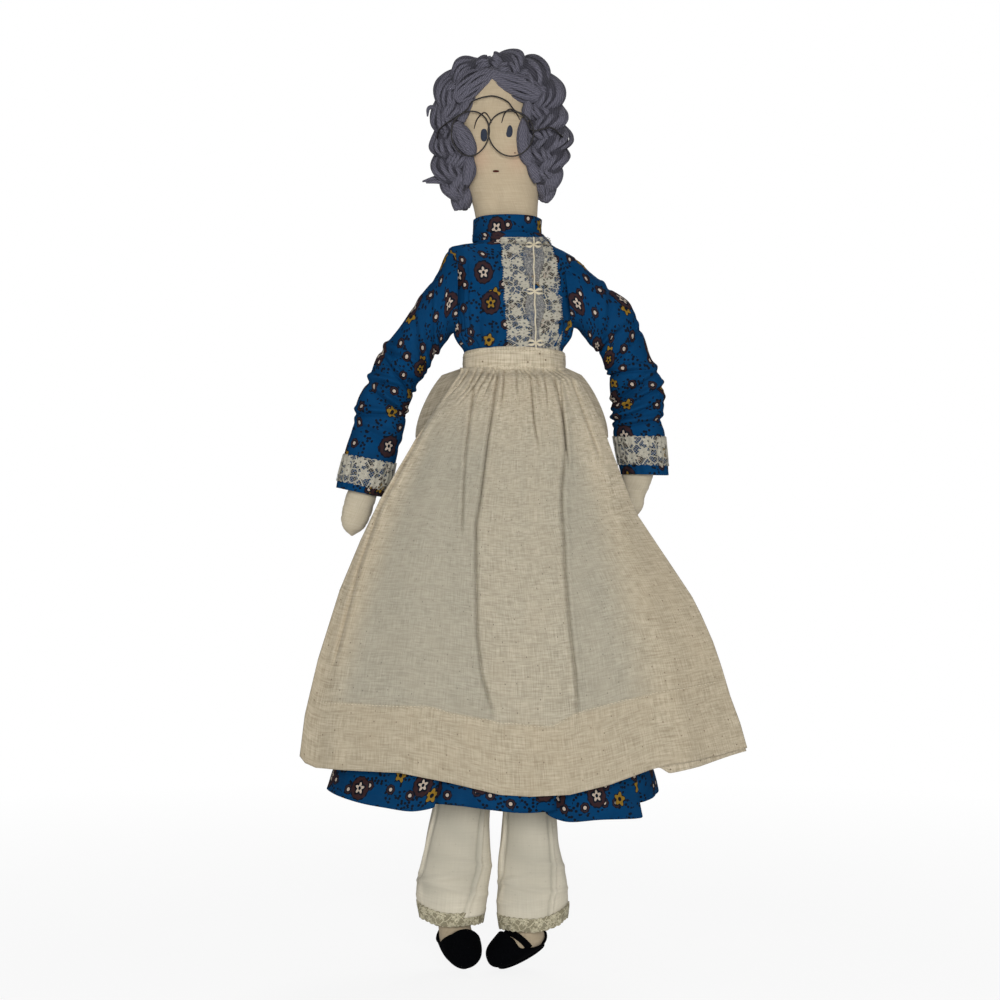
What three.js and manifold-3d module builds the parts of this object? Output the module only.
// A cloth doll: a stuffed muslin figure in a calico dress, a muslin apron, lace-edged pantaloons,
// felt bar shoes, yarn hair and wire spectacles.
// Millimetres, +Z up, the face towards -Y. The origin is at the middle of the waist.

import * as THREE from "three";
import { mergeVertices } from "three/addons/utils/BufferGeometryUtils.js";
import Module from "manifold-3d";

const wasm = await Module();
wasm.setup();

// Clearances and thicknesses
const seamGap = 0.3;
const armClear = 0.6;
const waistbandClear = 0.6;
const collarClear = 1.8;
const apronGap = 1.2;
const wireClear = 0.6;
const skinWall = 0.8;
const closingSlit = 1.2;
const clothWall = 1.0;
const laceWall = 0.8;
const bandWall = 1.4;
const feltWall = 1.6;
const soleThickness = 2.2;

// Torso
const bodyX = 3.5;
const hipZ = -80;
const hipSeamHalf = 0.8;
const hipSeamWeb = 5;
const shoulderSeamHalf = 2.6;
const shoulderSeamOut = 4;
const hipRise = 24;
const torsoHipHalf = 29;
const torsoHipDepth = 18;
const torsoWaistHalf = 28;
const torsoWaistDepth = 17;
const shoulderZ = 62;
const chestDrop = 26;
const torsoChestHalf = 34;
const torsoChestDepth = 19;
const torsoShoulderHalf = 38.5;
const torsoShoulderDepth = 14;
const torsoTopHalf = 20;

// Head and neck: heights are above the middle of the neck's round end
const neckX = 0;
const neckRise = 25;
const neckHalf = 20.6;
const neckDepth = 17;
const neckLength = 10;
const neckMouthHalf = 7;
const jawRise = 27;
const jawHalf = 23.2;
const jawDepth = 20;
const eyeRise = 65;
const headHalf = 27;
const headDepth = 25;
const headTall = 109;
const headLean = -8;
const nodAngle = 15;

// Arms, as bent in the photograph: offsets from the shoulder seam
const armHalf = 10.2;
const armDepth = 10;
const wristHalf = 8.6;
const handHalf = 10.4;
const handDepth = 7;
const leftArmPath = [[-8, 0, -30], [-26, 2, -60], [-42.5, 4, -88], [-50, 5, -116], [-57, 5, -146]];
const leftHandTip = [-64, 4, -176];
const rightArmPath = [[14, 2, -31], [31, 5, -55], [41.5, 9, -82], [43, 13, -106], [45.5, 17, -135]];
const rightHandTip = [39, 19, -162];

// Legs and feet
const leftHipX = -11;
const rightHipX = 18;
const leftAnkleX = -36;
const rightAnkleX = 15;
const ankleZ = -368;
const legHalf = 13.5;
const legSlitLength = 22;
const legSlitDrop = 50;
const ankleHalf = 11;
const footLength = 43;
const footHalf = 12;
const footHeight = 19;
const heelBack = 13;
const toeDrop = 24;
const leftFootTurn = 16;
const rightFootTurn = -58;

// Shoes
const shoeSideHeight = 9;
const throatFromToe = 19;
const strapWidth = 5;
const strapFromHeel = 15;
const soleBulge = 1.7;
const throatRadius = 3;

// Dress
const bodiceEase = 3.2;
const bodiceWaistZ = 1;
const collarBelowNeck = 8;
const collarHeight = 15;
const armholeTop = 5;
const armholeRun = 2;
const armholeDrop = 42;
const armholeDepth = 17;
const sleeveEase = 5;
const cuffHalf = 15;
const sleeveRumple = 1;
const skirtHemZ = -297;
const skirtHemHalf = 106;
const skirtHemDepth = 72;
const skirtHemX = -11;
const skirtFolds = 12;
const skirtFoldDepth = 5.5;

// Lace
const laceTopX = 10;
const laceBottomX = 16.5;
const ladderHalf = 6.6;
const stripWidth = 15.5;
const laceGap = 0.5;
const scallopDepth = 2;
const scallopPitch = 10;
const cuffLaceHeight = 15;
const cuffLaceFromEdge = 6;
const hemLaceHeight = 13;

// Apron
const waistbandHeight = 15;
const waistbandBottomZ = -7.3;
const apronCornerZ = -255;
const apronSag = 24;
const apronLeftX = -133;
const apronRightX = 152;
const apronFolds = 7;
const apronFoldDepth = 3.2;
const apronWrap = 0.5;
const sashWidth = 38;
const loopLength = 52;
const loopDrop = 42;
const loopFullness = 13;
const loopBack = 8;
const knotSize = 9;
const tailLength = 150;
const tailWidth = 27;

// Pantaloons
const pantaloonWaistTopZ = -26;
const pantaloonWaistRise = 20;
const pantaloonWaistEase = 3;
const pantaloonEase = 1.2;
const pantaloonDrop = 28;
const pantaloonPastAnkle = 3;
const leftHemShift = -2;
const rightHemShift = 2;
const pantaloonHemHalf = 22;
const pantaloonDepth = 17;
const pantaloonKneeHalf = 18;
const pantaloonFoldDepth = 0.9;
const pantaloonFolds = 6;

// Hair and spectacles: heights are above the eyes
const plaitHalf = 13;
const plaitCrossings = 5;
const plaitSwell = 1.8;
const plaitForward = 13;
const leftPlaitPath = [[-13, 41], [-29, 32], [-39, 14], [-38, -11], [-36, -33], [-29, -48]];
const rightPlaitPath = [[-9, 42], [10, 36], [22, 23], [26.5, 1], [27, -20], [27.5, -40]];
const capHalf = 40;
const capDepth = 33;
const capTall = 51;
const capBack = 6;
const partX = -12.5;
const wireRadius = 0.6;
const ringStandoff = 3;
const leftRing = { x: -25, z: -6, half: 12.4, tall: 15 };
const rightRing = { x: 2, z: -6, half: 14.6, tall: 15.4 };
// The rest of the wire, from one temple over the brow to the other: x, z, and how far behind the rings
const wirePath = [
  [-47, -10.5, 12], [-44.5, -2.5, 6], [-28, 9, 0], [-23, 15.4, 0.5], [-10.6, 18.7, 1],
  [-0.7, 15.2, 0.5], [4, 9.6, 0], [10.6, 4.8, 0], [15.9, -4, 0.5], [23, -3.2, 1],
  [29.2, -2.5, 2], [35.5, -7.8, 5], [41.5, -12.8, 14],
];

// Colours and finishes
const muslin = { color: 0xbfad91, roughness: 0.9, metalness: 0 };
const stuffing = { color: 0xeae6dc, roughness: 1, metalness: 0 };
const calico = { color: 0x0a4b86, roughness: 0.9, metalness: 0 };
const apronMuslin = { color: 0xb3a68b, roughness: 0.95, metalness: 0 };
const thinMuslin = { color: 0xd8d4c8, roughness: 0.9, metalness: 0 };
const lace = { color: 0xd2ccb8, roughness: 0.9, metalness: 0 };
const felt = { color: 0x141416, roughness: 1, metalness: 0 };
const yarn = { color: 0x625f6b, roughness: 1, metalness: 0 };
const wire = { color: 0x3a3029, roughness: 0.4, metalness: 1 };

// Heights that follow from these sizes
const chestZ = shoulderZ - chestDrop;
const neckZ = shoulderZ + neckRise;
const jawZ = neckZ + jawRise;
const eyeZ = neckZ + eyeRise;
const headTopZ = neckZ + headTall;
const torsoTopZ = neckZ - neckLength;
const collarBottomZ = neckZ - collarBelowNeck;
const ringsForward = headDepth + ringStandoff;

const doll = new THREE.Group();
const v3 = (x, y, z) => new THREE.Vector3(x, y, z);
const mix = (a, b, t) => a + (b - a) * t;
const radians = THREE.MathUtils.degToRad;

// A mesh in the doll, under the name of its piece.
function piece(name, shape, finish) {
  const geometry = shape.isBufferGeometry ? shape : geometryOf(shape);
  const mesh = new THREE.Mesh(geometry, new THREE.MeshStandardMaterial(finish));
  mesh.name = name;
  doll.add(mesh);
}

// A closed geometry as a solid that can be joined and cut.
function solid(geometry) {
  const bare = geometry.clone();
  bare.deleteAttribute("normal");
  bare.deleteAttribute("uv");
  const merged = mergeVertices(bare, 1e-4);
  const vertProperties = new Float32Array(merged.attributes.position.array);
  const triVerts = new Uint32Array(merged.index.array);
  return new wasm.Manifold(new wasm.Mesh({ numProp: 3, vertProperties, triVerts }));
}

function geometryOf(shape) {
  const mesh = shape.getMesh();
  const geometry = new THREE.BufferGeometry();
  geometry.setAttribute("position", new THREE.BufferAttribute(mesh.vertProperties, 3));
  geometry.setIndex(new THREE.BufferAttribute(mesh.triVerts, 1));
  return geometry;
}

// The largest body of a cut solid, without the slivers that a cut can leave.
function largest(shape) {
  const bodies = shape.decompose();
  bodies.sort((a, b) => b.volume() - a.volume());
  return bodies[0];
}

function meshFrom(points, triangles) {
  const geometry = new THREE.BufferGeometry();
  const places = points.flatMap((p) => [p.x, p.y, p.z]);
  geometry.setAttribute("position", new THREE.Float32BufferAttribute(places, 3));
  let volume = 0;
  for (const [a, b, c] of triangles) {
    volume += points[a].dot(v3().crossVectors(points[b], points[c]));
  }
  const facing = volume > 0 ? triangles : triangles.map(([a, b, c]) => [a, c, b]);
  geometry.setIndex(facing.flat());
  return geometry;
}

// Triangles between neighbouring rings of equal count.
function bands(rings, looped) {
  const count = rings[0].length;
  const triangles = [];
  const last = looped ? rings.length : rings.length - 1;
  for (let i = 0; i < last; i++) {
    const low = i * count;
    const high = ((i + 1) % rings.length) * count;
    for (let j = 0; j < count; j++) {
      const k = (j + 1) % count;
      triangles.push([low + j, low + k, high + k], [low + j, high + k, high + j]);
    }
  }
  return triangles;
}

// A form closed by a fan at each end.
function closedForm(rings) {
  const count = rings[0].length;
  const points = rings.flat();
  const triangles = bands(rings, false);
  const foot = points.length;
  const middle = (ring) => ring.reduce((sum, p) => sum.add(p), v3(0, 0, 0)).divideScalar(count);
  points.push(middle(rings[0]), middle(rings.at(-1)));
  const top = (rings.length - 1) * count;
  for (let j = 0; j < count; j++) {
    const k = (j + 1) % count;
    triangles.push([foot, k, j], [foot + 1, top + j, top + k]);
  }
  return meshFrom(points, triangles);
}

// A sleeve of cloth, open at both ends.
function openTube(outer, inner) {
  const rings = [...outer, ...inner.toReversed()];
  return meshFrom(rings.flat(), bands(rings, true));
}

// A sheet with a front, a back and four edges, from two grids of points.
function sheet(front, back) {
  const wide = front[0].length;
  const points = [...front.flat(), ...back.flat()];
  const away = front.length * wide;
  const triangles = [];
  const quad = (a, b, c, d) => triangles.push([a, b, c], [a, c, d]);
  for (let i = 0; i + 1 < front.length; i++) {
    for (let j = 0; j + 1 < wide; j++) {
      const a = i * wide + j;
      quad(a, a + 1, a + wide + 1, a + wide);
      quad(away + a, away + a + wide, away + a + wide + 1, away + a + 1);
    }
    const left = i * wide;
    const right = left + wide - 1;
    quad(left, left + wide, away + left + wide, away + left);
    quad(right, away + right, away + right + wide, right + wide);
  }
  for (let j = 0; j + 1 < wide; j++) {
    const end = (front.length - 1) * wide + j;
    quad(j, away + j, away + j + 1, j + 1);
    quad(end, end + 1, away + end + 1, away + end);
  }
  return meshFrom(points, triangles);
}

// One ring across a smooth path, at a share t of it. A station has a place, half a width and half
// a depth. The depth lies along Y as nearly as the path lets it. A level ring lies flat whatever the
// path does, ripple adds to the radius, and a power over 2 squares the oval.
function ringAt(stations, t, { sides, grow = 0, ripple = () => 0, power = 2, level = false }) {
  const path = new THREE.CatmullRomCurve3(stations.map((s) => v3(...s.at)));
  const sizes = new THREE.CatmullRomCurve3(stations.map((s) => v3(s.half, s.deep, 0)));
  const middle = path.getPoint(t);
  const along = level ? v3(0, 0, 1) : path.getTangent(t);
  const size = sizes.getPoint(t);
  const deep = v3(0, 1, 0).addScaledVector(along, -along.y).normalize();
  const side = v3().crossVectors(deep, along);
  const squared = (value) => Math.sign(value) * Math.abs(value) ** (2 / power);
  return Array.from({ length: sides }, (_, j) => {
    const angle = (2 * Math.PI * j) / sides;
    const more = grow + ripple(angle, t);
    const point = middle.clone();
    point.addScaledVector(side, squared(Math.cos(angle)) * Math.max(size.x + more, 0.2));
    return point.addScaledVector(deep, squared(Math.sin(angle)) * Math.max(size.y + more, 0.2));
  });
}

// Rings along the whole path. The end rings of a closed form grow along the path too.
function ringsAlong(stations, count, shape) {
  const shares = Array.from({ length: count + 1 }, (_, i) => i / count);
  const rings = shares.map((t) => ringAt(stations, t, shape));
  if (shape.closed) {
    const path = new THREE.CatmullRomCurve3(stations.map((s) => v3(...s.at)));
    rings[0].forEach((point) => point.addScaledVector(path.getTangent(0), -shape.grow));
    rings[count].forEach((point) => point.addScaledVector(path.getTangent(1), shape.grow));
  }
  return rings;
}

// Half width and half depth of an upright form at a height, between its stations.
function sizeAt(stations, z) {
  const upper = Math.max(1, stations.findIndex((s) => s.at[2] >= z));
  const [a, b] = [stations[upper - 1], stations[upper]];
  const t = THREE.MathUtils.clamp((z - a.at[2]) / (b.at[2] - a.at[2]), 0, 1);
  return { x: mix(a.at[0], b.at[0], t), half: mix(a.half, b.half, t), deep: mix(a.deep, b.deep, t) };
}

const station = (x, y, z, half, deep) => ({ at: [x, y, z], half, deep });

function box(low, high) {
  const size = v3().subVectors(high, low);
  const middle = v3().addVectors(low, high).multiplyScalar(0.5);
  return solid(new THREE.BoxGeometry(size.x, size.y, size.z).translate(middle.x, middle.y, middle.z));
}

// An ellipsoid whose poles lie along X, so that it stays itself when it turns about X.
function ellipsoid(middle, half, deep, tall, sides, rows) {
  const ball = new THREE.SphereGeometry(1, sides, rows).rotateZ(Math.PI / 2).scale(half, deep, tall);
  return solid(ball.translate(middle.x, middle.y, middle.z));
}

// A sewn skin and the stuffing inside it. The skin is open where the mouth cuts it.
function stuffedSkin(name, formAt, mouth, cut) {
  let skin = formAt(0, outside).subtract(formAt(-skinWall, within));
  let filling = formAt(-skinWall - seamGap, within);
  if (mouth) skin = skin.subtract(mouth);
  if (cut) {
    skin = skin.subtract(cut);
    filling = filling.subtract(cut);
  }
  piece(`${name}_skin`, largest(skin), muslin);
  piece(`${name}_stuffing`, largest(filling), stuffing);
}
// Points round a form: more on its outside than on what is hidden within
const outside = 14;
const within = 10;

// The hip seams turn in a groove along the bottom of the torso
const hipGrooveRadius = Math.hypot(hipSeamHalf, seamGap) + 1.2 * seamGap;

// Torso: swells at the hips and chest, flat at the bottom seam, dished for the neck
const torsoStations = [
  station(bodyX, 0, hipZ + 3 * seamGap, torsoHipHalf - 2, 0.9 * hipSeamHalf),
  station(bodyX, 0, hipZ + hipRise / 3, torsoHipHalf - 0.5, torsoHipDepth * 0.34),
  station(bodyX, 0, hipZ + hipRise, torsoHipHalf, torsoHipDepth),
  station(bodyX, 0, 0, torsoWaistHalf, torsoWaistDepth),
  station(bodyX, 0, chestZ, torsoChestHalf, torsoChestDepth),
  station(bodyX, 0, shoulderZ, torsoShoulderHalf, torsoShoulderDepth),
  station(bodyX, 0, torsoTopZ, torsoTopHalf, torsoShoulderDepth * 0.7),
];
const neckBall = (more, sides = outside) =>
  ellipsoid(v3(neckX, 0, neckZ), neckHalf + more, neckDepth + more, neckDepth + more, sides, 6);
const torsoForm = (grow, sides) =>
  solid(closedForm(ringsAlong(torsoStations, 10, { sides, grow, power: 2.4, level: true, closed: true })));
const seamOut = torsoShoulderHalf + shoulderSeamOut;
const shoulderX = { left: bodyX - seamOut, right: bodyX + seamOut };
const shoulderAt = (side) => v3(shoulderX[side], 0, shoulderZ);
const grooveRod = new THREE.CylinderGeometry(hipGrooveRadius, hipGrooveRadius, 4 * torsoHipHalf, 12);
const hipGroove = solid(grooveRod.rotateZ(Math.PI / 2).translate(bodyX, 0, hipZ));
const dishes = neckBall(seamGap, 2 * outside).add(hipGroove);
stuffedSkin("torso", torsoForm, null, dishes);

// Head: a bag that narrows to a round-ended neck, which rocks in the dish of the torso
const headStations = [
  station(neckX, 0, neckZ, neckHalf, neckDepth),
  station(neckX, 0, neckZ + neckLength, neckHalf + 0.5, neckDepth + 0.6),
  station(headLean * 0.42, 0, jawZ, jawHalf, jawDepth),
  station(headLean * 0.8, 0, (jawZ + eyeZ) / 2, mix(jawHalf, headHalf, 0.55), mix(jawDepth, headDepth, 0.6)),
  station(headLean, 0, eyeZ, headHalf, headDepth),
  station(headLean, 0, mix(eyeZ, headTopZ, 0.5), headHalf - 2, headDepth - 1.5),
  station(headLean, 0, mix(eyeZ, headTopZ, 0.82), headHalf - 8, headDepth - 7),
  station(headLean, 0, headTopZ, 6, 5),
];
const headForm = (grow, sides = outside) => {
  const bag = closedForm(ringsAlong(headStations, 9, { sides, grow, level: true, closed: true }));
  return solid(bag).add(neckBall(grow));
};
const neckMouth = box(
  v3(neckX - neckMouthHalf, -neckMouthHalf, neckZ - 1.3 * neckDepth),
  v3(neckX + neckMouthHalf, neckMouthHalf, neckZ - 0.82 * neckDepth),
);
stuffedSkin("head", headForm, neckMouth);

// Arms: a flat seam at the shoulder, a full sleeve's worth of arm, a mitten hand
function armStations(side) {
  const top = shoulderAt(side);
  const path = side === "left" ? leftArmPath : rightArmPath;
  const tip = side === "left" ? leftHandTip : rightHandTip;
  const at = ([x, y, z]) => [top.x + x, top.y + y, top.z + z];
  const lean = side === "left" ? -1 : 1;
  const part = (a, b, t) => [mix(a[0], b[0], t), mix(a[1], b[1], t), mix(a[2], b[2], t)];
  return [
    { at: at([0, 0, 0]), half: shoulderSeamHalf, deep: armDepth },
    { at: at([lean * 3, 0, -12]), half: armHalf * 0.72, deep: armDepth },
    { at: at(path[0]), half: armHalf, deep: armDepth },
    { at: at(path[1]), half: armHalf, deep: armDepth },
    { at: at(path[2]), half: armHalf - 0.6, deep: armDepth - 0.6 },
    { at: at(path[3]), half: armHalf - 0.8, deep: armDepth - 1 },
    { at: at(path[4]), half: wristHalf, deep: wristHalf - 1 },
    { at: at(part(path[4], tip, 0.5)), half: handHalf, deep: handDepth },
    { at: at(part(path[4], tip, 0.86)), half: handHalf * 0.66, deep: handDepth * 0.8 },
    { at: at(tip), half: 2, deep: 1.6 },
  ];
}
const armForm = (side) => (grow, sides = outside) =>
  solid(closedForm(ringsAlong(armStations(side), 12, { sides: sides - 3, grow, closed: true })));
for (const side of ["left", "right"]) {
  const top = shoulderAt(side);
  const slot = box(
    v3(top.x - shoulderSeamHalf + skinWall, -armDepth + 2, top.z - 4),
    v3(top.x + shoulderSeamHalf - skinWall, armDepth - 2, top.z + 4),
  );
  stuffedSkin(`${side}_arm`, armForm(side), slot);
}

// Legs: a flat hip seam, a long straight leg and a foot that droops and turns in
const hipX = { left: leftHipX, right: rightHipX };
const ankleX = { left: leftAnkleX, right: rightAnkleX };
const footTurn = { left: leftFootTurn, right: rightFootTurn };

function legStations(side) {
  const top = v3(hipX[side], 0, hipZ + seamGap);
  const ankle = v3(ankleX[side], 0, ankleZ);
  const at = (t) => [mix(top.x, ankle.x, t), 0, mix(top.z, ankle.z, t)];
  return [
    { at: at(0), half: legHalf - 1.5, deep: hipSeamHalf },
    { at: [top.x, 0, top.z - hipSeamWeb], half: legHalf - 1.2, deep: hipSeamHalf },
    { at: [top.x, 0, top.z - 1.6 * hipSeamWeb], half: legHalf - 1, deep: skinWall + 1.6 },
    { at: [top.x, 0, top.z - 3 * hipSeamWeb], half: legHalf, deep: legHalf * 0.5 },
    { at: at(0.14), half: legHalf, deep: legHalf - 1 },
    { at: at(0.35), half: legHalf, deep: legHalf },
    { at: at(0.7), half: legHalf - 1, deep: legHalf - 1 },
    { at: at(1), half: ankleHalf, deep: ankleHalf },
    { at: [ankle.x, 0, ankle.z - 8], half: ankleHalf - 1, deep: ankleHalf - 1 },
  ];
}

// Places a shape made along +X (the toe), +Z up and its sole at 0, on the ankle of a leg.
function atFoot(side, geometry) {
  const turn = radians(footTurn[side] - 90);
  geometry.rotateY(radians(toeDrop));
  geometry.rotateZ(turn);
  return geometry.translate(ankleX[side], 0, ankleZ - footHeight);
}

// The foot as sections from heel to toe, flat below.
const footSides = 10;
const toeX = footLength - heelBack;
function footForm(more, low = 0) {
  const sections = [
    [-heelBack, 0.35, 0.5], [-0.77 * heelBack, 0.72, 0.72], [0, 0.92, 0.92], [0.5 * toeX, 1, 1],
    [0.8 * toeX, 0.92, 0.9], [0.95 * toeX, 0.66, 0.66], [toeX, 0.4, 0.42],
  ];
  const rings = sections.map(([x, wide, tall], i) => {
    const end = i === 0 ? -more : i === sections.length - 1 ? more : 0;
    const ring = [];
    for (let j = 0; j < footSides; j++) {
      const angle = (2 * Math.PI * j) / footSides;
      const lift = Math.sin(angle) * 0.5 + 0.5;
      const y = Math.cos(angle) * (footHalf * wide + more);
      const z = Math.max(low, lift * (footHeight * tall + 2 * more) - more);
      ring.push(v3(x + end, y, z));
    }
    return ring;
  });
  return closedForm(rings);
}

// A solid through the whole shoe, with this side view.
function sideCut(shape) {
  const across = 4 * footHalf;
  const cut = new THREE.ExtrudeGeometry(shape, { depth: across, bevelEnabled: false, curveSegments: 6 });
  return cut.translate(0, 0, -across / 2).rotateX(Math.PI / 2);
}

function legForm(side) {
  return (grow, sides = outside) => {
    const stations = legStations(side).slice(grow < 0 ? 2 : 0);
    const rings = ringsAlong(stations, stations.length, { sides: sides - 3, grow, closed: true });
    return solid(closedForm(rings)).add(solid(atFoot(side, footForm(grow))));
  };
}

for (const side of ["left", "right"]) {
  const slitTop = hipZ - legSlitDrop;
  const slitX = mix(hipX[side], ankleX[side], (legSlitDrop + legSlitLength / 2) / (hipZ - ankleZ));
  const slit = box(
    v3(slitX - closingSlit / 2, 0, slitTop - legSlitLength),
    v3(slitX + closingSlit / 2, 2 * legHalf, slitTop),
  );
  stuffedSkin(`${side}_leg`, legForm(side), slit);
}

// Shoes: a felt toe cap and low sides, a sole, and a bar across the instep
const shoeOut = seamGap + feltWall;
for (const side of ["left", "right"]) {
  const profile = new THREE.Shape();
  const throat = toeX - throatFromToe;
  profile.moveTo(-2 * heelBack, seamGap);
  profile.lineTo(2 * toeX, seamGap);
  profile.lineTo(2 * toeX, 2 * footHeight);
  profile.lineTo(throat, 2 * footHeight);
  profile.lineTo(throat, shoeSideHeight + throatRadius);
  profile.absarc(throat - throatRadius, shoeSideHeight + throatRadius, throatRadius, 0, -Math.PI / 2, true);
  profile.lineTo(-heelBack, shoeSideHeight);
  profile.lineTo(-2 * heelBack, shoeSideHeight + 4);
  const leg = legForm(side)(seamGap);
  const shoe = solid(atFoot(side, footForm(shoeOut, -seamGap)));
  const cap = shoe.intersect(solid(atFoot(side, sideCut(profile)))).subtract(leg);
  piece(`${side}_shoe_upper`, largest(cap), felt);

  const plate = new THREE.Shape();
  const heelEnd = -heelBack - feltWall / 2;
  const toeEnd = toeX + feltWall;
  const ball = footHalf + 2 * soleBulge;
  plate.moveTo(heelEnd, 0);
  plate.quadraticCurveTo(heelEnd, -footHalf, 0, -footHalf);
  plate.quadraticCurveTo(toeX * 0.45, -ball, toeX * 0.8, -footHalf);
  plate.quadraticCurveTo(toeEnd, -footHalf * 0.8, toeEnd, 0);
  plate.quadraticCurveTo(toeEnd, footHalf * 0.8, toeX * 0.8, footHalf);
  plate.quadraticCurveTo(toeX * 0.45, ball, 0, footHalf);
  plate.quadraticCurveTo(heelEnd, footHalf, heelEnd, 0);
  const cutOut = { depth: soleThickness, bevelEnabled: false, curveSegments: 5 };
  const slab = new THREE.ExtrudeGeometry(plate, cutOut).translate(0, 0, -soleThickness - seamGap);
  piece(`${side}_shoe_sole`, atFoot(side, slab), felt);

  const barX = strapFromHeel - heelBack;
  const bar = new THREE.Shape();
  bar.moveTo(barX, shoeSideHeight + seamGap);
  bar.lineTo(barX + strapWidth, shoeSideHeight + seamGap);
  bar.lineTo(barX + strapWidth, 2 * footHeight);
  bar.lineTo(barX, 2 * footHeight);
  const strap = shoe.intersect(solid(atFoot(side, sideCut(bar)))).subtract(leg);
  piece(`${side}_shoe_strap`, largest(strap), felt);
}

// Dress: a bodice over the torso, a collar band, two sleeves and a gathered skirt
const waistbandTopZ = waistbandBottomZ + waistbandHeight;
// The neck tips forwards and back inside the collar by the nod
const nodRoom = 1.5 * collarHeight * Math.sin(radians(nodAngle));
const collarHalf = neckHalf + collarClear;
const collarDepth = neckDepth + collarClear + nodRoom;
const torsoWaist = { half: torsoWaistHalf + bodiceEase, deep: torsoWaistDepth + bodiceEase };
const bodiceStations = [
  station(bodyX, 0, bodiceWaistZ, torsoWaist.half, torsoWaist.deep),
  station(bodyX, 0, waistbandTopZ + 0.5, torsoWaist.half, torsoWaist.deep),
  station(bodyX, 0, waistbandTopZ + 9, torsoChestHalf + bodiceEase + 1, torsoChestDepth + bodiceEase),
  station(bodyX, 0, chestZ, torsoChestHalf + bodiceEase + 3, torsoChestDepth + bodiceEase + 1.5),
  station(bodyX, 0, shoulderZ - 4, torsoShoulderHalf + bodiceEase, torsoChestDepth + bodiceEase),
  station(mix(bodyX, neckX, 0.3), 0, shoulderZ + 9, torsoShoulderHalf - 1, torsoChestDepth + 1),
  station(neckX, 0, collarBottomZ - seamGap, collarHalf + bandWall, collarDepth + bandWall),
];
const bodiceRings = (grow) => ringsAlong(bodiceStations, 6, { sides: 20, grow, power: 2.4, level: true });
const bodiceFilled = (more) => solid(closedForm(bodiceRings(more)));
const pivotRod = (side, radius) => {
  const rod = new THREE.CylinderGeometry(radius, radius, 3 * torsoChestDepth, 16);
  const at = shoulderAt(side);
  return solid(rod.translate(at.x, at.y, at.z));
};
let bodice = solid(openTube(bodiceRings(0), bodiceRings(-clothWall)));
for (const side of ["left", "right"]) {
  bodice = bodice.subtract(armForm(side)(armClear)).subtract(pivotRod(side, armholeTop + armholeRun));
}
piece("bodice", largest(bodice), calico);

const collarStations = [collarBottomZ, collarBottomZ + collarHeight].map((z) =>
  station(neckX, 0, z, collarHalf, collarDepth),
);
const collarRings = (grow) => ringsAlong(collarStations, 1, { sides: 24, grow, level: true });
piece("collar", openTube(collarRings(bandWall), collarRings(0)), calico);

function sleeveStations(side) {
  const top = shoulderAt(side);
  const lean = side === "left" ? -1 : 1;
  const arm = armStations(side);
  const half = (armholeTop + armholeDrop) / 2;
  const middleZ = top.z + armholeTop - half;
  const loose = (s, more) => ({ at: s.at, half: s.half + more, deep: s.deep + more });
  return [
    { at: [top.x - lean * armholeTop, 0, middleZ], half, deep: armholeDepth },
    { at: [top.x + lean * armholeTop, 0, middleZ - 3], half: half - 2, deep: armholeDepth },
    loose(arm[3], sleeveEase + 1.5),
    loose(arm[4], sleeveEase + 1.5),
    loose(arm[5], sleeveEase + 1),
    { at: arm[6].at, half: cuffHalf, deep: cuffHalf - 2 },
  ];
}
const rumple = (angle, t) => sleeveRumple * Math.sin(2 * angle + 19 * t) * Math.sin(Math.PI * t) ** 0.5;
const sleeveRings = (side, grow) => ringsAlong(sleeveStations(side), 9, { sides: 14, grow, ripple: rumple });
for (const side of ["left", "right"]) {
  const shell = solid(openTube(sleeveRings(side, 0), sleeveRings(side, -clothWall)));
  const crown = pivotRod(side, armholeTop + armholeRun - seamGap);
  const sleeve = shell.subtract(bodiceFilled(seamGap).subtract(crown)).subtract(armForm(side)(seamGap));
  piece(`${side}_sleeve`, largest(sleeve), calico);
}

// Lace bands: round each cuff and each pantaloon hem, with a scalloped lower edge
function laceBand(stations, ripple, fromEnd, height) {
  const size = stations.at(-1);
  const ends = [stations.at(-2), stations.at(-1)].map((s) => v3(...s.at));
  const axis = v3().subVectors(ends[1], ends[0]).normalize();
  const lastShare = 1 / (stations.length - 1);
  const shareAt = (back) => 1 - (back / ends[0].distanceTo(ends[1])) * lastShare;
  const sides = 4 * Math.round((Math.PI * (size.half + size.deep)) / scallopPitch);
  const rings = (grow) =>
    [1, 0].map((up) => {
      const ring = ringAt(stations, shareAt(fromEnd + up * height), { sides, grow, ripple });
      const rise = (j) => scallopDepth * Math.abs(Math.sin((Math.PI * j) / 4)) * (1 - up);
      return ring.map((point, j) => point.addScaledVector(axis, -rise(j)));
    });
  return openTube(rings(laceGap + laceWall), rings(laceGap));
}
for (const side of ["left", "right"]) {
  piece(`${side}_cuff_lace`, laceBand(sleeveStations(side), rumple, cuffLaceFromEdge, cuffLaceHeight), lace);
}

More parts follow.
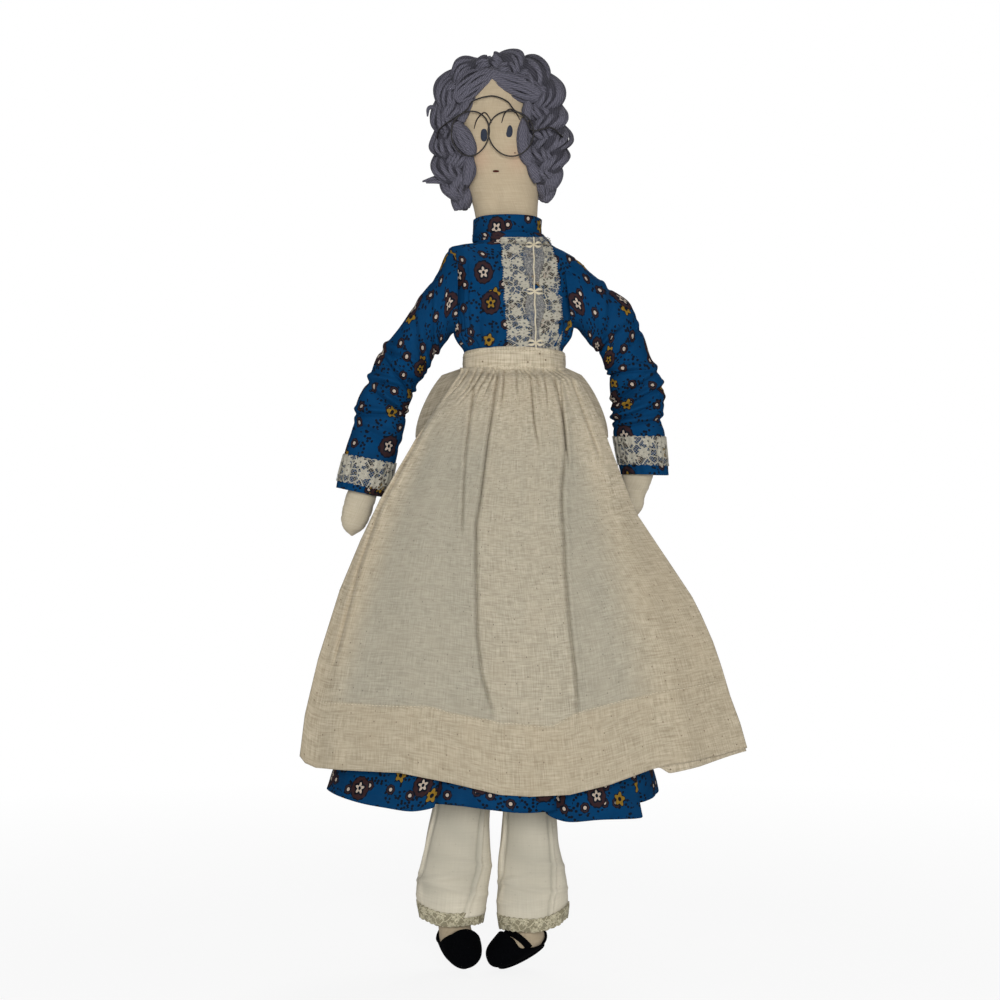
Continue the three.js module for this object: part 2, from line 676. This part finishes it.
// Lace down the front of the bodice: two scalloped strips and a ladder between them
const sleeveFilled = solid(closedForm(sleeveRings("right", seamGap)));
const bodiceSkin = bodiceFilled(seamGap + laceWall).subtract(bodiceFilled(seamGap)).subtract(sleeveFilled);
const laceTopZ = collarBottomZ - 1.5;
const laceBottomZ = waistbandTopZ + seamGap;
const laceLine = (z, offset) => {
  const share = (z - laceBottomZ) / (laceTopZ - laceBottomZ);
  return mix(laceBottomX, laceTopX, share) + offset;
};
function laceStrip(name, near, far, scalloped) {
  const outline = new THREE.Shape();
  const count = Math.round((laceTopZ - laceBottomZ) / scallopPitch);
  const zAt = (i) => mix(laceBottomZ, laceTopZ, i / count);
  outline.moveTo(laceLine(laceTopZ, near), laceTopZ);
  outline.lineTo(laceLine(laceBottomZ, near), laceBottomZ);
  outline.lineTo(laceLine(laceBottomZ, far), laceBottomZ);
  const bulge = scalloped ? 2 * scallopDepth * Math.sign(far - near) : 0;
  for (let i = 0; i < count; i++) {
    const middle = (zAt(i) + zAt(i + 1)) / 2;
    outline.quadraticCurveTo(laceLine(middle, far + bulge), middle, laceLine(zAt(i + 1), far), zAt(i + 1));
  }
  const reach = 3 * torsoChestDepth;
  const block = new THREE.ExtrudeGeometry(outline, { depth: reach, bevelEnabled: false, curveSegments: 3 });
  const through = solid(block.rotateX(Math.PI / 2));
  piece(name, largest(bodiceSkin.intersect(through)), lace);
}
laceStrip("lace_inner_strip", -ladderHalf - seamGap, -ladderHalf - stripWidth, true);
laceStrip("lace_ladder", -ladderHalf, ladderHalf, false);
laceStrip("lace_outer_strip", ladderHalf + seamGap, ladderHalf + stripWidth, true);

// Skirt: gathered into the waist, opening into deep folds at the hem
const skirtTopZ = bodiceWaistZ - seamGap;
const skirtSize = (share) => ({
  half: mix(torsoWaist.half, skirtHemHalf, share ** 0.85),
  deep: mix(torsoWaist.deep, skirtHemDepth, share ** 0.8),
});
const skirtStation = (share) => {
  const z = mix(waistbandBottomZ - 1, skirtHemZ, share);
  const { half, deep } = skirtSize(share);
  return station(mix(bodyX, skirtHemX, share), 0, z, half, deep);
};
const skirtStations = [
  station(bodyX, 0, skirtTopZ, torsoWaist.half, torsoWaist.deep),
  ...[0, 0.12, 0.3, 0.5, 0.75, 1].map(skirtStation),
];
const skirtFold = (angle, t) => {
  const uneven = 2 * Math.sin(2 * angle);
  return skirtFoldDepth * t ** 1.2 * Math.cos(skirtFolds * angle + uneven);
};
const skirtRings = (grow) =>
  ringsAlong(skirtStations, 6, { sides: 4 * skirtFolds, grow, ripple: skirtFold, power: 2.3 });
piece("skirt", openTube(skirtRings(0), skirtRings(-clothWall)), calico);

// Apron: a waistband, a gathered panel in front of the skirt and a bow behind
const waistbandStations = [waistbandBottomZ, waistbandTopZ].map((z) =>
  station(bodyX, 0, z, torsoWaist.half + waistbandClear, torsoWaist.deep + waistbandClear),
);
const waistbandShape = { sides: 28, power: 2.4, level: true };
const waistbandRings = (grow) => ringsAlong(waistbandStations, 1, { ...waistbandShape, grow });
piece("apron_waistband", openTube(waistbandRings(bandWall), waistbandRings(0)), apronMuslin);

const apronTopZ = waistbandBottomZ - seamGap;
const skirtDepthAt = (z) => {
  const share = THREE.MathUtils.clamp((z - waistbandBottomZ) / (skirtHemZ - waistbandBottomZ), 0, 1);
  return skirtSize(share).deep + skirtFoldDepth * Math.min(1, share * 1.2 + 0.12);
};
// A point of the apron: u runs across from -1 to 1, v down from 0 to 1.
function apronPoint(u, v, back) {
  const z = mix(apronTopZ, apronCornerZ - apronSag * (1 - u * u), v);
  const left = mix(bodyX - torsoWaist.half - 2, apronLeftX, v ** 0.68);
  const right = mix(bodyX + torsoWaist.half + 2, apronRightX, v ** 0.95);
  const x = mix(left, right, (u + 1) / 2);
  const fold = apronFoldDepth * Math.min(1, 0.25 + 2 * v) * Math.cos(Math.PI * apronFolds * u + 3 * u * u);
  const front = skirtDepthAt(z) + apronGap + apronFoldDepth * Math.min(1, 0.25 + 2 * v);
  const y = -front * (1 - apronWrap * Math.abs(u) ** 2.6) - fold;
  return v3(x, y - (back ? 0 : clothWall), z);
}
const apronRows = 7;
const apronColumns = 34;
const apronRow = (v, back) =>
  Array.from({ length: apronColumns + 1 }, (_, j) => apronPoint((2 * j) / apronColumns - 1, v, back));
const apronGrid = (back) => Array.from({ length: apronRows + 1 }, (_, i) => apronRow(i / apronRows, back));
piece("apron_panel", sheet(apronGrid(false), apronGrid(true)), apronMuslin);

const knotY = torsoWaist.deep + waistbandClear + bandWall + seamGap + knotSize / 2;
const knotAt = v3(bodyX, knotY, waistbandBottomZ + waistbandHeight / 2);
piece("bow_knot", geometryOf(ellipsoid(knotAt, knotSize * 0.8, knotSize / 2, knotSize, 12, 6)), apronMuslin);

// A loop of sash, pinched at the knot and opening outwards: a flat band carried round a teardrop.
function bowLoop(lean) {
  const count = 20;
  const start = bodyX + lean * (knotSize * 0.8 + seamGap);
  const section = (i) => {
    const turn = (2 * Math.PI * i) / count;
    const at = (inset, up) => {
      const out = inset + ((loopLength - 2 * inset) * (1 - Math.cos(turn))) / 2;
      const swell = 0.3 + 0.7 * Math.sin(turn / 2) ** 2;
      const across = (loopFullness / 2 - inset) * Math.sin(turn) * swell;
      const share = out / loopLength;
      const wide = sashWidth * mix(0.3, 1, Math.sqrt(share));
      const y = knotY + across + loopBack * share;
      return v3(start + lean * out, y, knotAt.z + wide * up - loopDrop * share);
    };
    return [at(0, -0.5), at(0, 0.5), at(clothWall, 0.5), at(clothWall, -0.5)];
  };
  const rings = Array.from({ length: count }, (_, i) => section(i));
  return meshFrom(rings.flat(), bands(rings, true));
}
piece("bow_left_loop", bowLoop(-1), apronMuslin);
piece("bow_right_loop", bowLoop(1), apronMuslin);

function bowTail(lean) {
  const grid = (back) =>
    Array.from({ length: 9 }, (_, i) => {
      const v = i / 8;
      const z = knotAt.z - knotSize - seamGap - tailLength * v;
      const middle = bodyX + lean * mix(3.6, tailWidth, Math.sqrt(v));
      const y = Math.max(knotY, skirtDepthAt(z) + apronGap) + (back ? clothWall : 0);
      const half = mix(3, tailWidth / 2, Math.min(1, 3 * v));
      return [-1, -0.33, 0.33, 1].map((u) => v3(middle + half * u, y + Math.sin(7 * v + u), z));
    });
  return sheet(grid(false), grid(true));
}
piece("bow_left_tail", bowTail(-1), apronMuslin);
piece("bow_right_tail", bowTail(1), apronMuslin);

// Pantaloons: a waist part under the skirt and two wide legs
const pantaloonTopZ = hipZ - pantaloonDrop;
const pantaloonHemZ = ankleZ - pantaloonPastAnkle;
const waistPart = [pantaloonWaistTopZ, hipZ + pantaloonWaistRise].map((z) => {
  const { half, deep } = sizeAt(torsoStations, z);
  return station(bodyX, 0, z, half + pantaloonWaistEase, deep + pantaloonWaistEase);
});
const waistPartRings = (grow) => ringsAlong(waistPart, 2, { sides: 20, grow, power: 2.4, level: true });
piece("pantaloon_waist", openTube(waistPartRings(clothWall), waistPartRings(0)), thinMuslin);

const hemX = { left: leftAnkleX + leftHemShift, right: rightAnkleX + rightHemShift };
function pantaloonStations(side) {
  const leg = legStations(side);
  const legX = (z) => sizeAt(leg.toReversed(), z).x;
  const kneeZ = mix(pantaloonTopZ, pantaloonHemZ, 0.7);
  return [
    station(legX(pantaloonTopZ), 0, pantaloonTopZ, legHalf + pantaloonEase, legHalf + pantaloonEase),
    station(legX(kneeZ), 0, kneeZ, pantaloonKneeHalf, pantaloonDepth),
    station(hemX[side], 0, pantaloonHemZ + hemLaceHeight + 2, pantaloonHemHalf, pantaloonDepth),
    station(hemX[side], 0, pantaloonHemZ, pantaloonHemHalf, pantaloonDepth),
  ];
}
const pantaloonFold = (angle, t) => pantaloonFoldDepth * t * Math.cos(pantaloonFolds * angle + 1);
for (const side of ["left", "right"]) {
  const shape = { sides: 20, ripple: pantaloonFold };
  const rings = (grow) => ringsAlong(pantaloonStations(side), 6, { ...shape, grow });
  piece(`${side}_pantaloon_leg`, openTube(rings(0), rings(-clothWall)), thinMuslin);
  piece(`${side}_pantaloon_lace`, laceBand(pantaloonStations(side), pantaloonFold, 0, hemLaceHeight), lace);
}

// Hair: a cap behind the head and a thick plait down each side of the face
const plaitRings = (path, grow) => {
  const halves = [0.8, 1, 1, 1, 1, 0.62];
  const stations = path.map(([x, z], i) => {
    return station(x, -plaitForward, eyeZ + z, plaitHalf * halves[i], plaitHalf * halves[i]);
  });
  const swell = (angle, t) => plaitSwell * Math.abs(Math.sin(Math.PI * plaitCrossings * t)) - plaitSwell / 2;
  return ringsAlong(stations, 3 * plaitCrossings, { sides: 8, grow, ripple: swell });
};
const plait = (path, more) => solid(closedForm(plaitRings(path, more)));
const headClear = headForm(seamGap);
const far = 300;
const sideOf = (lean) =>
  lean < 0
    ? box(v3(-far, -far, 0), v3(partX - seamGap / 2, far, far))
    : box(v3(partX + seamGap / 2, -far, 0), v3(far, far, far));

// Spectacles: two rings joined by one wire that runs over the brow, its ends tucked in the hair
const wirePoints = wirePath.map(([x, z, behind]) => v3(x, behind - ringsForward, eyeZ + z));
function ringWire({ x, z, half, tall }) {
  const torus = new THREE.TorusGeometry(half, wireRadius, 5, 16);
  const place = torus.attributes.position;
  for (let i = 0; i < place.count; i++) {
    const angle = Math.atan2(place.getY(i), place.getX(i));
    place.setY(i, place.getY(i) + (tall - half) * Math.sin(angle));
  }
  return solid(torus.rotateX(Math.PI / 2).translate(x, -ringsForward, eyeZ + z));
}
const wireSteps = 26;
const round = new THREE.Shape().absarc(0, 0, wireRadius, 0, 2 * Math.PI);
const temple = new THREE.ExtrudeGeometry(round, {
  extrudePath: new THREE.CatmullRomCurve3(wirePoints),
  steps: wireSteps,
  curveSegments: 3,
});
const spectacles = ringWire(leftRing).add(ringWire(rightRing)).add(solid(temple));
piece("spectacles", spectacles, wire);

// The way out to the front of a wire, which the hair leaves clear.
function wayOut(points, looped) {
  const half = wireRadius + wireClear;
  const curve = new THREE.CatmullRomCurve3(points, looped);
  const rings = Array.from({ length: looped ? wireSteps : wireSteps + 1 }, (_, i) => {
    const along = curve.getTangentAt(i / wireSteps);
    const beyond = looped ? 0 : Math.sign(i % wireSteps ? 0 : i - 1) * 2 * half;
    const at = curve.getPointAt(i / wireSteps).addScaledVector(along, beyond);
    const across = v3(along.z, 0, -along.x).normalize().multiplyScalar(half);
    const back = at.y + half;
    return [
      v3(at.x - across.x, back, at.z - across.z), v3(at.x + across.x, back, at.z + across.z),
      v3(at.x + across.x, -far, at.z + across.z), v3(at.x - across.x, -far, at.z - across.z),
    ];
  });
  return solid(looped ? meshFrom(rings.flat(), bands(rings, true)) : closedForm(rings));
}
function ringPoints({ x, z, half, tall }) {
  const turns = Array.from({ length: 16 }, (_, i) => (2 * Math.PI * i) / 16);
  return turns.map((a) => v3(x + half * Math.cos(a), -ringsForward, eyeZ + z + tall * Math.sin(a)));
}
const ringWays = [leftRing, rightRing].map((ring) => wayOut(ringPoints(ring), true));
const ways = [wayOut(wirePoints, false), ...ringWays];
const combed = (hair) => ways.reduce((shape, way) => shape.subtract(way), hair.subtract(headClear));
const leftPlait = plait(leftPlaitPath, 0).intersect(sideOf(-1));
const rightPlait = plait(rightPlaitPath, 0).intersect(sideOf(1));
piece("hair_left_plait", largest(combed(leftPlait)), yarn);
piece("hair_right_plait", largest(combed(rightPlait)), yarn);
const capMiddle = v3(headLean * 0.7, capBack, eyeZ);
const cap = ellipsoid(capMiddle, capHalf, capDepth, capTall, outside, 8)
  .intersect(box(v3(-far, -plaitForward / 2, 0), v3(far, far, far)))
  .subtract(plait(leftPlaitPath, seamGap))
  .subtract(plait(rightPlaitPath, seamGap));
piece("hair_cap", largest(combed(cap)), yarn);

export default doll;
